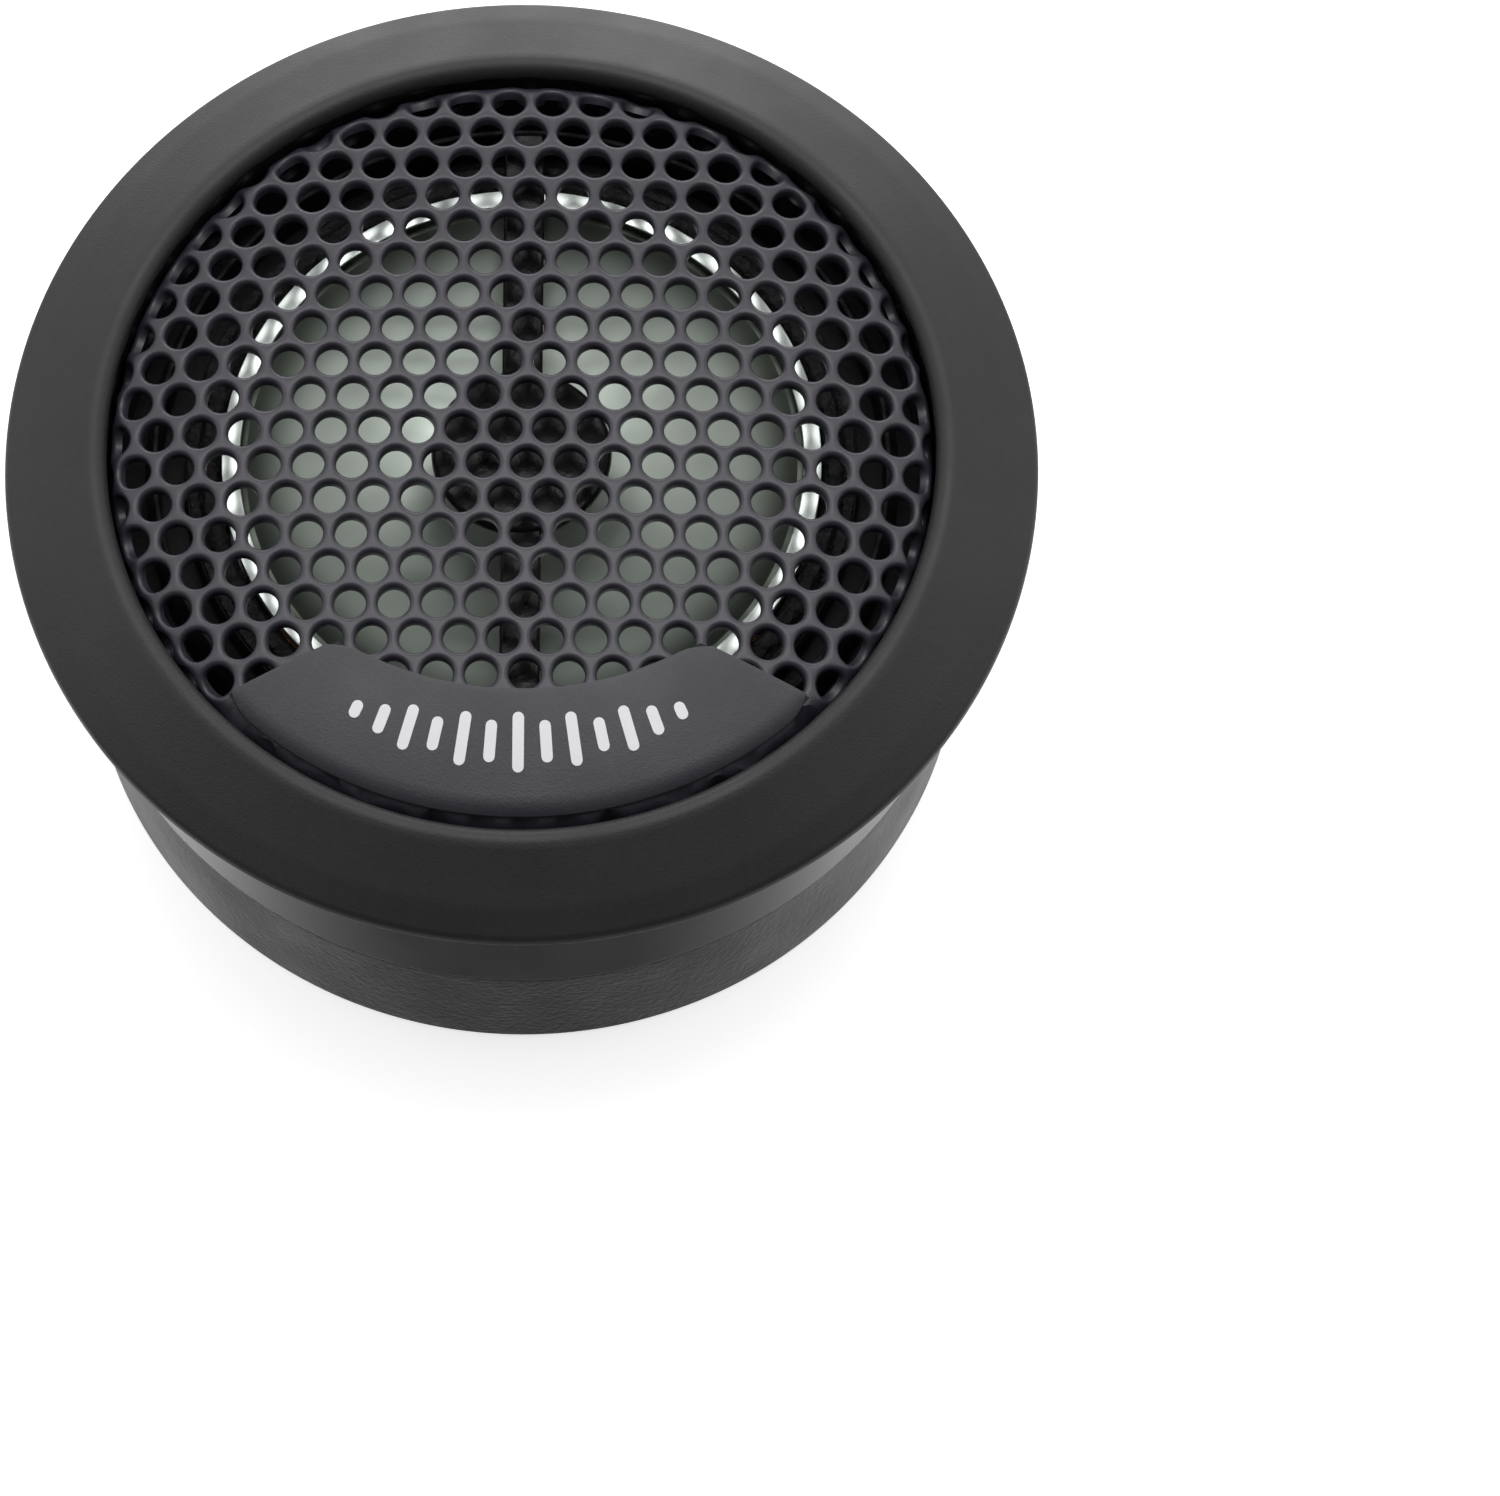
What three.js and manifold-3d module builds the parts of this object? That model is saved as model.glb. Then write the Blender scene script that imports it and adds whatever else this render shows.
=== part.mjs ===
// A car tweeter on its surface-mount cup: an inverted metal dome behind a domed perforated grille.
// Millimetres, +Z up. The origin is the centre of the cup's base. +Z points out through the grille and
// the badge is on the -Y side.
import * as THREE from 'three';
import { mergeVertices } from 'three/addons/utils/BufferGeometryUtils.js';
import Module from 'manifold-3d';

const wasm = await Module();
wasm.setup();

// Outer shape
const FLANGE_R = 25.5;
const FLANGE_UNDER_Z = 20.1;
const FLANGE_INNER_R = 20.4;
const FLANGE_INNER_Z = 23.7;
const FLANGE_SLOPE = 0.5;
const FLANGE_RIM_WIDTH = 1.3;
const LIP_ROUND = 0.7;
const SLEEVE_TOP_R = 22.8;
const SLEEVE_LOW_R = 22.63;
const SLEEVE_INNER_R = 21.3;
const SEAM_Z = 8.95;
const SEAM_GAP = 0.05;
const CUP_TOP_R = 22.55;
const CUP_BASE_R = 22.0;

// Grille: a shallow crown, a rolled shoulder and a straight skirt
const GRILLE_TOP_Z = 24.4;
const CROWN_R = 19.5;
const CROWN_FALL_2 = 0.56;
const CROWN_FALL_4 = 1.2;
const CROWN_FALL_REF_R = 20;
const SHOULDER_R = 1.02;
const SKIRT_R = 20.25;
const SKIRT_LOW_Z = 18.1;
const SHEET = 0.55;
const HOLE_R = 0.8;
const HOLE_PITCH = 2.15;
const HOLE_ORIGIN = new THREE.Vector2(-0.785, 0.425);
const HOLE_FIELD_R = 18.3;
const HOLE_ROWS = 11;

// Badge on the grille's lower edge
const BADGE_HEIGHT = 0.4;
const BADGE_UNDER = 0.15;
const BADGE_START_R = 10;
const BADGE_INNER_ARC_R = 16.2;
const BADGE_INNER_ARC_Y = 2.64;
const BADGE_INNER_CORNER = new THREE.Vector2(8.85, -10.93);
const BADGE_OUTER_CORNER = new THREE.Vector2(14.48, -13.5);
const BADGE_OUTER_R = 19.8;
const PAD_LOW = 0.02;
const PAD_TOP = 0.1;

// Driver
const FRAME_R = 21.1;
const FRAME_TOP_Z = 18.6;
const FRAME_BORE_R = 15.1;
const FRAME_SEAT_Z = 20.4;
const FRAME_WEB_Z = 17;
const FRAME_WALL_R = 18.6;
const FRAME_WALL_TOP_Z = 21.4;
const FRAME_WALL = 0.65;
const FRAME_COLLAR = 1;
const FRAME_COLLAR_LOW_Z = 12;
const GROOVE_R = 16.6;
const SLIP = 0.15;
const LEDGE_Z = 19;
const GASKET_INNER_R = 20.5;
const RING_BORE_R = 18.3;
const RING_LOW_Z = 14.8;
const RING_SLOT_WIDTH = 2.4;
const RING_SLOT_TOP_Z = 15.8;
const DOME_R = 13.6;
const DOME_EDGE_Z = 21.0;
const DOME_CENTRE_Z = 17.6;
const DOME_SHEET = 0.3;
const RIM_R = 14.8;
const RIM_TOP_Z = 21.5;
const SURROUND_OUT_R = 16.5;
const SURROUND_LOW_Z = 20.45;
const SURROUND_FOOT_TOP_Z = 20.75;
const FORMER_R = 13.25;
const FORMER_TOP_Z = 20.5;
const FORMER_WALL = 0.2;
const COIL_R = 13.5;
const COIL_WALL = 0.45;
const COIL_LOW_Z = 14;
const COIL_TOP_Z = 16.8;
const PLATE_R = 13.0;
const PLATE_DISH_R = 9.2;
const PLATE_DISH_Z = 15.9;
const FELT_R = 9;
const FELT = 0.5;
const MAGNET_R = 12.0;
const YOKE_R = 15.95;
const YOKE_WALL_R = 14.25;
const YOKE_LOW_Z = 9.0;
const YOKE_FLOOR_Z = 11.1;
const MAGNET_TOP_Z = 13.9;
const PLATE_TOP_Z = 16.9;
const YOKE_TOP_Z = 17.2;
const HUB_R = 4.45;
const HUB_LOW_Z = 20.4;
const HUB_TOP_Z = 22.75;
const BAR_WIDTH = 2.0;
const BAR_LOW_Z = 21.9;
const BAR_TOP_Z = 22.4;
const BAR_FOOT_R = 17.1;
const BAR_FOOT_DEPTH = 0.8;

// Terminals and leads
const BOARD_WIDTH = 16;
const BOARD_DEPTH = 6;
const BOARD_Y = 10;
const BOARD_LOW_Z = 8.1;
const TAB_WIDTH = 2.8;
const TAB_LENGTH = 7;
const TAB_LOW_Z = 7.6;
const TERMINAL_X = 4.4;
const RIVET_R = 0.8;
const RIVET_HEAD_R = 1.3;
const RIVET_HEAD = 0.25;
const LEAD_R = 0.3;
const LEAD_ANGLE = 17;
const LEAD_CHANNEL = 1.2;

// Cup
const CUP_FLOOR = 2.0;
const CUP_INNER_R = 20.3;
const CUP_BASE_ROUND = 0.6;
const SPIGOT_R = 21.1;
const SPIGOT_TOP_Z = 11.8;
const BEAD_Z = 10.6;
const BEAD_HEIGHT = 0.12;
const BEAD_GROOVE = 0.2;
const FINGER_SLOT_WIDTH = 1.6;
const FINGER_SLOT_LOW_Z = 9.5;
const WIRE_HOLE_R = 4.5;
const COUNTERBORE_R = 5.8;
const COUNTERBORE = 0.7;
const GROMMET_BORE_R = 3.25;
const GROMMET_FLANGE_R = 5.6;
const GROMMET_LIP = 0.45;
const SCREW_HOLE_R = 1.7;
const SCREW_HEAD_R = 3.3;
const SCREW_HEAD_LOW_Z = 0.8;
const SCREW_X = 12.5;

// Sides of a turned piece, and divisions of a rounded edge
const OUTER_SIDES = 60;
const INNER_SIDES = 36;
const SMALL_SIDES = 20;
const RIVET_SIDES = 10;
const SHEET_SIDES = 32;
const PUNCH_SIDES = 6;
const ROUND = 3;

// ---------- helpers ----------

// A geometry as a solid that can be joined and cut.
function solid(geometry) {
  const bare = geometry.index ? geometry.toNonIndexed() : geometry.clone();
  bare.deleteAttribute('normal');
  bare.deleteAttribute('uv');
  const merged = mergeVertices(bare, 1e-4);
  const corners = merged.index.array;
  const kept = [];
  for (let i = 0; i < corners.length; i += 3) {
    const [a, b, c] = corners.slice(i, i + 3);
    if (a !== b && b !== c && c !== a) kept.push(a, b, c);
  }
  const vertProperties = merged.attributes.position.array;
  const triVerts = new Uint32Array(kept);
  return new wasm.Manifold(new wasm.Mesh({ numProp: 3, vertProperties, triVerts }));
}

function geometryOf(manifold) {
  const mesh = manifold.getMesh();
  const indexed = new THREE.BufferGeometry();
  indexed.setAttribute('position', new THREE.BufferAttribute(mesh.vertProperties, 3));
  indexed.setIndex(new THREE.BufferAttribute(mesh.triVerts, 1));
  const flat = indexed.toNonIndexed();
  flat.computeVertexNormals();
  return flat;
}

function cut(geometry, cutters) {
  return geometryOf(cutters.reduce((left, cutter) => left.subtract(solid(cutter)), solid(geometry)));
}

function join(geometries) {
  return geometryOf(geometries.map(solid).reduce((all, next) => all.add(next)));
}

function common(a, b) {
  return geometryOf(solid(a).intersect(solid(b)));
}

function outlinePoints(outline) {
  if (outline instanceof THREE.Path) return outline.getPoints(ROUND);
  return outline.map(([r, z]) => new THREE.Vector2(r, z));
}

// Turns an outline of (radius, height) about Z. It runs up the outside and down the inside, and an
// outline that doesn't start on the axis is closed on itself.
function turned(outline, sides) {
  const points = outlinePoints(outline);
  if (points[0].x > 0 && !points[0].equals(points.at(-1))) points.push(points[0].clone());
  return new THREE.LatheGeometry(points, sides).rotateX(Math.PI / 2);
}

function tube(inner, outer, low, high, sides) {
  return turned([[inner, low], [outer, low], [outer, high], [inner, high]], sides);
}

function disc(radius, low, high, sides) {
  return turned([[0, low], [radius, low], [radius, high], [0, high]], sides);
}

function box(width, depth, low, high, x = 0, y = 0) {
  return new THREE.BoxGeometry(width, depth, high - low).translate(x, y, (low + high) / 2);
}

// Moves a piece made on the +Y side round the axis.
function turn(geometry, degrees) {
  return geometry.rotateZ(THREE.MathUtils.degToRad(degrees));
}

// ---------- grille and badge ----------

function crownZ(r) {
  const share = r / CROWN_FALL_REF_R;
  return GRILLE_TOP_Z - CROWN_FALL_2 * share ** 2 - CROWN_FALL_4 * share ** 4;
}

// Points of a crowned surface between two radii, moved up by an offset.
function crown(startR, endR, offset) {
  const steps = 3;
  return Array.from({ length: steps + 1 }, (_, i) => {
    const r = startR + ((endR - startR) * i) / steps;
    return [r, crownZ(r) + offset];
  });
}

// Points of the grille's skin from a radius out to the top of the skirt, moved out by an offset.
function grilleSkin(startR, offset) {
  const centreR = SKIRT_R - SHOULDER_R;
  const startAngle = Math.acos((CROWN_R - centreR) / SHOULDER_R);
  const centreZ = crownZ(CROWN_R) - SHOULDER_R * Math.sin(startAngle);
  const reach = SHOULDER_R + offset;
  const shoulder = Array.from({ length: ROUND }, (_, i) => {
    const angle = startAngle * (1 - (i + 1) / ROUND);
    return [centreR + reach * Math.cos(angle), centreZ + reach * Math.sin(angle)];
  });
  return [...crown(startR, CROWN_R, offset), ...shoulder];
}

function badgeOutline() {
  const outline = new THREE.Shape();
  const inner = BADGE_INNER_CORNER;
  const outer = BADGE_OUTER_CORNER;
  const innerAngle = Math.atan2(inner.y - BADGE_INNER_ARC_Y, inner.x);
  const outerAngle = Math.atan2(outer.y, outer.x);
  outline.moveTo(inner.x, inner.y);
  outline.absarc(0, BADGE_INNER_ARC_Y, BADGE_INNER_ARC_R, innerAngle, -Math.PI - innerAngle, true);
  outline.lineTo(-outer.x, outer.y);
  outline.absarc(0, 0, BADGE_OUTER_R, -Math.PI - outerAngle, outerAngle, false);
  outline.lineTo(inner.x, inner.y);
  return outline;
}

// The part of a turned layer that lies within the badge's outline.
function withinBadge(layer) {
  const settings = { depth: 4, bevelEnabled: false, curveSegments: 6 };
  const prism = new THREE.ExtrudeGeometry(badgeOutline(), settings).translate(0, 0, GRILLE_TOP_Z - 3);
  return common(turned(layer, SHEET_SIDES), prism);
}

// The plate follows the crown past the shoulder, so its outer edge stands free over the skirt.
function badge() {
  const endR = BADGE_OUTER_R + 0.4;
  const under = crown(BADGE_START_R, endR, BADGE_UNDER);
  const over = crown(BADGE_START_R, endR, BADGE_HEIGHT).reverse();
  return withinBadge([...under, ...over]);
}

function badgePad() {
  const under = crown(BADGE_START_R, CROWN_R, PAD_LOW);
  const over = crown(BADGE_START_R, CROWN_R, PAD_TOP).reverse();
  return withinBadge([...under, ...over]);
}

function holeCentres() {
  const rowStep = HOLE_PITCH * Math.sin(Math.PI / 3);
  const badge = badgeOutline().getPoints(6);
  const centres = [];
  for (let row = -HOLE_ROWS; row <= HOLE_ROWS; row += 1) {
    for (let i = -2 * HOLE_ROWS; i <= 2 * HOLE_ROWS; i += 1) {
      const centre = new THREE.Vector2(HOLE_PITCH * (i + row / 2), rowStep * row).add(HOLE_ORIGIN);
      if (centre.length() < HOLE_FIELD_R && !insideOutline(centre, badge)) centres.push(centre);
    }
  }
  return centres;
}

// Counts the edges that a line from the point towards +X crosses.
function insideOutline(point, outline) {
  let inside = false;
  outline.forEach((a, i) => {
    const b = outline[(i + 1) % outline.length];
    const spans = a.y > point.y !== b.y > point.y;
    if (spans && point.x < a.x + ((b.x - a.x) * (point.y - a.y)) / (b.y - a.y)) inside = !inside;
  });
  return inside;
}

function grille() {
  const outer = grilleSkin(0, 0).reverse();
  const inner = grilleSkin(0, -SHEET);
  const skirt = [[SKIRT_R - SHEET, SKIRT_LOW_Z], [SKIRT_R, SKIRT_LOW_Z]];
  const sheet = turned([...inner, ...skirt, ...outer], SHEET_SIDES);
  const holes = holeCentres().map(({ x, y }) => {
    const punch = new THREE.CylinderGeometry(HOLE_R, HOLE_R, 5, PUNCH_SIDES).rotateX(Math.PI / 2);
    return punch.translate(x, y, GRILLE_TOP_Z - 1);
  });
  return cut(sheet, holes);
}

// ---------- housing and driver ----------

function frontHousing() {
  const edge = 0.15;
  const rimRound = 0.4;
  const rimR = FLANGE_R - FLANGE_RIM_WIDTH;
  const lipR = FLANGE_INNER_R + LIP_ROUND;
  const grooveR = SLEEVE_INNER_R + BEAD_GROOVE;
  const topZ = (r) => FLANGE_INNER_Z - FLANGE_SLOPE * (r - FLANGE_INNER_R);
  const outline = new THREE.Path();
  outline.moveTo(SLEEVE_INNER_R + edge, SEAM_Z);
  outline.lineTo(SLEEVE_LOW_R - edge, SEAM_Z);
  outline.lineTo(SLEEVE_LOW_R, SEAM_Z + edge);
  outline.lineTo(SLEEVE_TOP_R, FLANGE_UNDER_Z);
  outline.lineTo(FLANGE_R - rimRound, FLANGE_UNDER_Z);
  outline.quadraticCurveTo(FLANGE_R, FLANGE_UNDER_Z, FLANGE_R, FLANGE_UNDER_Z + rimRound);
  outline.quadraticCurveTo(FLANGE_R, topZ(FLANGE_R), rimR, topZ(rimR));
  outline.lineTo(lipR, topZ(lipR));
  outline.quadraticCurveTo(FLANGE_INNER_R, FLANGE_INNER_Z, FLANGE_INNER_R, FLANGE_INNER_Z - LIP_ROUND);
  outline.lineTo(FLANGE_INNER_R, LEDGE_Z);
  outline.lineTo(SLEEVE_INNER_R, LEDGE_Z);
  outline.lineTo(SLEEVE_INNER_R, BEAD_Z + 0.35);
  outline.lineTo(grooveR, BEAD_Z + 0.2);
  outline.lineTo(grooveR, BEAD_Z - 0.2);
  outline.lineTo(SLEEVE_INNER_R, BEAD_Z - 0.35);
  outline.lineTo(SLEEVE_INNER_R, SEAM_Z + edge);
  outline.lineTo(SLEEVE_INNER_R + edge, SEAM_Z);
  return turned(outline, OUTER_SIDES);
}

// The moulding that holds the motor below and the surround, the phase plug and the grille above.
function driverFrame() {
  const collarR = YOKE_R + SLIP;
  const collarOutR = collarR + FRAME_COLLAR;
  const skirtGrooveR = SKIRT_R + SLIP;
  const skirtGrooveZ = SKIRT_LOW_Z - 0.1;
  const innerLipR = FRAME_BORE_R - 0.4;
  const innerLipTopZ = FRAME_SEAT_Z - 1.5;
  const yokeSeatZ = YOKE_TOP_Z + 0.1;
  const wallInnerR = FRAME_WALL_R - FRAME_WALL;
  const body = turned(
    [
      [innerLipR, yokeSeatZ],
      [collarR, yokeSeatZ],
      [collarR, FRAME_COLLAR_LOW_Z],
      [collarOutR, FRAME_COLLAR_LOW_Z],
      [collarOutR, FRAME_WEB_Z],
      [FRAME_R, FRAME_WEB_Z],
      [FRAME_R, FRAME_TOP_Z],
      [skirtGrooveR, FRAME_TOP_Z],
      [skirtGrooveR, skirtGrooveZ],
      [FRAME_WALL_R, skirtGrooveZ],
      [FRAME_WALL_R, FRAME_WALL_TOP_Z - 1.1],
      [FRAME_WALL_R - 0.4, FRAME_WALL_TOP_Z],
      [wallInnerR, FRAME_WALL_TOP_Z],
      [wallInnerR, FRAME_TOP_Z],
      [GROOVE_R, FRAME_TOP_Z],
      [GROOVE_R, FRAME_SEAT_Z],
      [FRAME_BORE_R, FRAME_SEAT_Z],
      [FRAME_BORE_R, innerLipTopZ],
      [innerLipR, innerLipTopZ],
    ],
    INNER_SIDES,
  );
  const channels = [LEAD_ANGLE, -LEAD_ANGLE].flatMap((degrees) => [
    turn(box(LEAD_CHANNEL, 2, 19, 21, 0, 16), degrees),
    turn(box(LEAD_CHANNEL, LEAD_CHANNEL, 16, 19, 0, 17.4), degrees),
  ]);
  return cut(body, channels);
}

function retainingRing() {
  const ring = tube(RING_BORE_R, FRAME_R + 0.05, RING_LOW_Z, FRAME_WEB_Z, INNER_SIDES);
  const slot = () => box(RING_SLOT_WIDTH, 1.6, RING_LOW_Z - 1, RING_SLOT_TOP_Z, 0, 20.6);
  return cut(ring, [0, 1, 2, 3].map((i) => turn(slot(), 90 * i)));
}

// The crown of the inverted dome, from its centre out to the rim.
function domeSkin(offset) {
  const steps = 4;
  return Array.from({ length: steps + 1 }, (_, i) => {
    const r = (DOME_R * i) / steps;
    return [r, DOME_CENTRE_Z + offset + (DOME_EDGE_Z - DOME_CENTRE_Z) * (r / DOME_R) ** 2];
  });
}

function dome() {
  const under = domeSkin(-DOME_SHEET);
  const over = domeSkin(0).reverse();
  const rim = [
    [RIM_R - 0.2, DOME_EDGE_Z - DOME_SHEET],
    [RIM_R, DOME_EDGE_Z - 0.1],
    [RIM_R, RIM_TOP_Z - 0.2],
    [RIM_R - 0.15, RIM_TOP_Z],
    [RIM_R - 0.5, RIM_TOP_Z],
    [RIM_R - 0.7, RIM_TOP_Z - 0.2],
  ];
  return turned([...under, ...rim, ...over], INNER_SIDES);
}

// A half roll with a flat outer edge that is glued to the frame.
function surround() {
  const foot = RIM_R + 0.08;
  const low = SURROUND_LOW_Z;
  const top = SURROUND_FOOT_TOP_Z;
  return turned(
    [
      [foot, low],
      [foot + 0.3, low + 0.15],
      [foot + 0.5, low + 0.42],
      [foot + 0.75, low + 0.35],
      [foot + 0.92, low],
      [SURROUND_OUT_R, low],
      [SURROUND_OUT_R, top],
      [foot + 1.15, top],
      [foot + 0.9, top + 0.33],
      [foot + 0.5, top + 0.48],
      [foot + 0.15, top + 0.25],
      [foot, top],
    ],
    INNER_SIDES,
  );
}

// A bar across the dome with a round hub, standing on two feet in the frame's groove.
function phasePlug() {
  const tipR = 1.4;
  const edgeTopZ = HUB_TOP_Z - 0.15;
  const footLowZ = FRAME_TOP_Z + 0.02;
  const hub = new THREE.Path();
  hub.moveTo(0, HUB_LOW_Z);
  hub.lineTo(tipR, HUB_LOW_Z);
  hub.lineTo(HUB_R - 0.4, BAR_LOW_Z - 0.1);
  hub.lineTo(HUB_R, BAR_LOW_Z + 0.2);
  hub.quadraticCurveTo(HUB_R, edgeTopZ - 0.05, HUB_R - 0.8, edgeTopZ);
  hub.lineTo(0, HUB_TOP_Z);
  const bar = box(BAR_WIDTH, 2 * BAR_FOOT_R + BAR_FOOT_DEPTH, BAR_LOW_Z, BAR_TOP_Z);
  const feet = [BAR_FOOT_R, -BAR_FOOT_R].map((y) =>
    box(BAR_WIDTH, BAR_FOOT_DEPTH, footLowZ, BAR_TOP_Z, 0, y),
  );
  return join([turned(hub, SMALL_SIDES), bar, ...feet]);
}

function yoke() {
  const bevel = 0.3;
  return turned(
    [
      [0, YOKE_LOW_Z],
      [YOKE_R - bevel, YOKE_LOW_Z],
      [YOKE_R, YOKE_LOW_Z + bevel],
      [YOKE_R, YOKE_TOP_Z],
      [YOKE_WALL_R, YOKE_TOP_Z],
      [YOKE_WALL_R, YOKE_FLOOR_Z],
      [0, YOKE_FLOOR_Z],
    ],
    INNER_SIDES,
  );
}

// The plate on the magnet, dished in its middle to make room for the dome.
function topPlate() {
  const outline = [
    [0, MAGNET_TOP_Z],
    [PLATE_R, MAGNET_TOP_Z],
    [PLATE_R, PLATE_TOP_Z],
    [PLATE_DISH_R + 0.8, PLATE_TOP_Z],
    [PLATE_DISH_R, PLATE_DISH_Z],
    [0, PLATE_DISH_Z],
  ];
  return turned(outline, INNER_SIDES);
}

// ---------- terminals ----------

function rivetHole(x) {
  return disc(RIVET_R + 0.08, TAB_LOW_Z - 1, YOKE_LOW_Z + 1, SMALL_SIDES).translate(x, BOARD_Y, 0);
}

function terminalBoard() {
  const board = box(BOARD_WIDTH, BOARD_DEPTH, BOARD_LOW_Z, YOKE_LOW_Z, 0, BOARD_Y);
  return cut(board, [rivetHole(TERMINAL_X), rivetHole(-TERMINAL_X)]);
}

function terminal(x) {
  const blade = box(TAB_WIDTH, TAB_LENGTH, TAB_LOW_Z, BOARD_LOW_Z, x, BOARD_Y + 0.4);
  return cut(blade, [rivetHole(x)]);
}

function rivet(x) {
  const headLowZ = TAB_LOW_Z - RIVET_HEAD;
  const outline = [
    [0, headLowZ],
    [RIVET_HEAD_R, headLowZ],
    [RIVET_HEAD_R, TAB_LOW_Z],
    [RIVET_R, TAB_LOW_Z],
    [RIVET_R, YOKE_LOW_Z],
    [0, YOKE_LOW_Z],
  ];
  return turned(outline, RIVET_SIDES).translate(x, BOARD_Y, 0);
}

// A braided lead from the coil former, over the frame, down past the motor and in to its terminal.
function lead(side) {
  const radialPoints = [
    [13.85, 19.4],
    [15.4, 19.5],
    [16.9, 19.3],
    [17.5, 18.2],
    [17.55, 13],
    [17.5, 9.4],
    [16.6, 8.2],
  ];
  const angle = THREE.MathUtils.degToRad(LEAD_ANGLE) * side;
  const across = Math.sin(angle);
  const along = Math.cos(angle);
  const route = radialPoints.map(([r, z]) => new THREE.Vector3(r * across, r * along, z));
  const tabEndY = BOARD_Y + 0.4 + TAB_LENGTH / 2;
  const tabMiddleZ = (TAB_LOW_Z + BOARD_LOW_Z) / 2;
  route.push(new THREE.Vector3(side * TERMINAL_X, tabEndY + LEAD_R, tabMiddleZ));
  const section = new THREE.Shape();
  section.absarc(0, 0, LEAD_R, 0, 2 * Math.PI, false);
  const extrudePath = new THREE.CatmullRomCurve3(route);
  return new THREE.ExtrudeGeometry(section, { steps: 16, curveSegments: 3, extrudePath });
}

// ---------- cup ----------

function screwHole(x) {
  const outline = [
    [0, -1],
    [SCREW_HOLE_R, -1],
    [SCREW_HOLE_R, SCREW_HEAD_LOW_Z],
    [SCREW_HEAD_R, CUP_FLOOR],
    [SCREW_HEAD_R, CUP_FLOOR + 1],
    [0, CUP_FLOOR + 1],
  ];
  return turned(outline, SMALL_SIDES).translate(x, 0, 0);
}

function rearCup() {
  const edge = 0.15;
  const beadR = SPIGOT_R + BEAD_HEIGHT;
  const cupTopZ = SEAM_Z - SEAM_GAP;
  const outline = new THREE.Path();
  outline.moveTo(0, 0);
  outline.lineTo(CUP_BASE_R - CUP_BASE_ROUND, 0);
  outline.quadraticCurveTo(CUP_BASE_R, 0, CUP_BASE_R + 0.03, CUP_BASE_ROUND);
  outline.lineTo(CUP_TOP_R, cupTopZ - edge);
  outline.lineTo(CUP_TOP_R - edge, cupTopZ);
  outline.lineTo(SPIGOT_R, cupTopZ);
  outline.lineTo(SPIGOT_R, BEAD_Z - 0.3);
  outline.lineTo(beadR, BEAD_Z - 0.1);
  outline.lineTo(beadR, BEAD_Z + 0.1);
  outline.lineTo(SPIGOT_R, BEAD_Z + 0.3);
  outline.lineTo(SPIGOT_R, SPIGOT_TOP_Z - 0.2);
  outline.lineTo(SPIGOT_R - 0.2, SPIGOT_TOP_Z);
  outline.lineTo(CUP_INNER_R, SPIGOT_TOP_Z);
  outline.lineTo(CUP_INNER_R, CUP_FLOOR);
  outline.lineTo(0, CUP_FLOOR);
  const wireHole = disc(WIRE_HOLE_R, -1, CUP_FLOOR + 1, SMALL_SIDES);
  const counterbore = disc(COUNTERBORE_R, -1, COUNTERBORE, SMALL_SIDES);
  const slot = () => box(FINGER_SLOT_WIDTH, 2, FINGER_SLOT_LOW_Z, SPIGOT_TOP_Z + 0.2, 0, 20.8);
  const slots = [45, 135, 225, 315].map((degrees) => turn(slot(), degrees));
  const screwHoles = [screwHole(SCREW_X), screwHole(-SCREW_X)];
  return cut(turned(outline, OUTER_SIDES), [wireHole, counterbore, ...screwHoles, ...slots]);
}

function wireGrommet() {
  const neckR = WIRE_HOLE_R - 0.1;
  const lowLipZ = COUNTERBORE - 0.1 - GROMMET_LIP;
  const topLipZ = CUP_FLOOR + 0.1;
  return turned(
    [
      [GROMMET_BORE_R, lowLipZ],
      [GROMMET_FLANGE_R, lowLipZ],
      [GROMMET_FLANGE_R, lowLipZ + GROMMET_LIP],
      [neckR, lowLipZ + GROMMET_LIP],
      [neckR, topLipZ],
      [GROMMET_FLANGE_R, topLipZ],
      [GROMMET_FLANGE_R, topLipZ + GROMMET_LIP],
      [GROMMET_BORE_R, topLipZ + GROMMET_LIP],
    ],
    SMALL_SIDES,
  );
}

// ---------- materials ----------

function material(color, roughness, metalness = 0) {
  return new THREE.MeshStandardMaterial({ color, roughness, metalness });
}

const materials = {
  housing: material(0x2b2a2c, 0.5),
  cup: material(0x262527, 0.6),
  grille: material(0x4a484c, 0.45, 0.3),
  badge: material(0x3a393c, 0.55),
  pad: material(0xb9b7b0, 0.8),
  frame: material(0x161618, 0.5),
  gasket: material(0x1c1c1e, 0.95),
  ring: material(0x202023, 0.5),
  dome: material(0xb9c2b8, 0.3, 1),
  surround: material(0x232226, 0.75),
  former: material(0xa9acb0, 0.35, 1),
  winding: material(0xb06a3a, 0.4, 1),
  plug: material(0x101012, 0.3),
  felt: material(0x4a4a4c, 1),
  steel: material(0x9fa3a7, 0.35, 1),
  magnet: material(0x8b8f94, 0.25, 1),
  board: material(0x7a5230, 0.7),
  brass: material(0xc9a659, 0.35, 1),
  braid: material(0xc2855a, 0.5, 1),
  grommet: material(0x151517, 0.8),
};

// ---------- assembly ----------

function piece(name, geometry, look) {
  const mesh = new THREE.Mesh(geometry, look);
  mesh.name = name;
  return mesh;
}

const cup = new THREE.Group();
cup.add(piece('rear_cup', rearCup(), materials.cup));
cup.add(piece('wire_grommet', wireGrommet(), materials.grommet));

const front = new THREE.Group();
front.add(piece('front_housing', frontHousing(), materials.housing));
front.add(piece('grille', grille(), materials.grille));
front.add(piece('badge', badge(), materials.badge));
front.add(piece('badge_pad', badgePad(), materials.pad));

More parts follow.
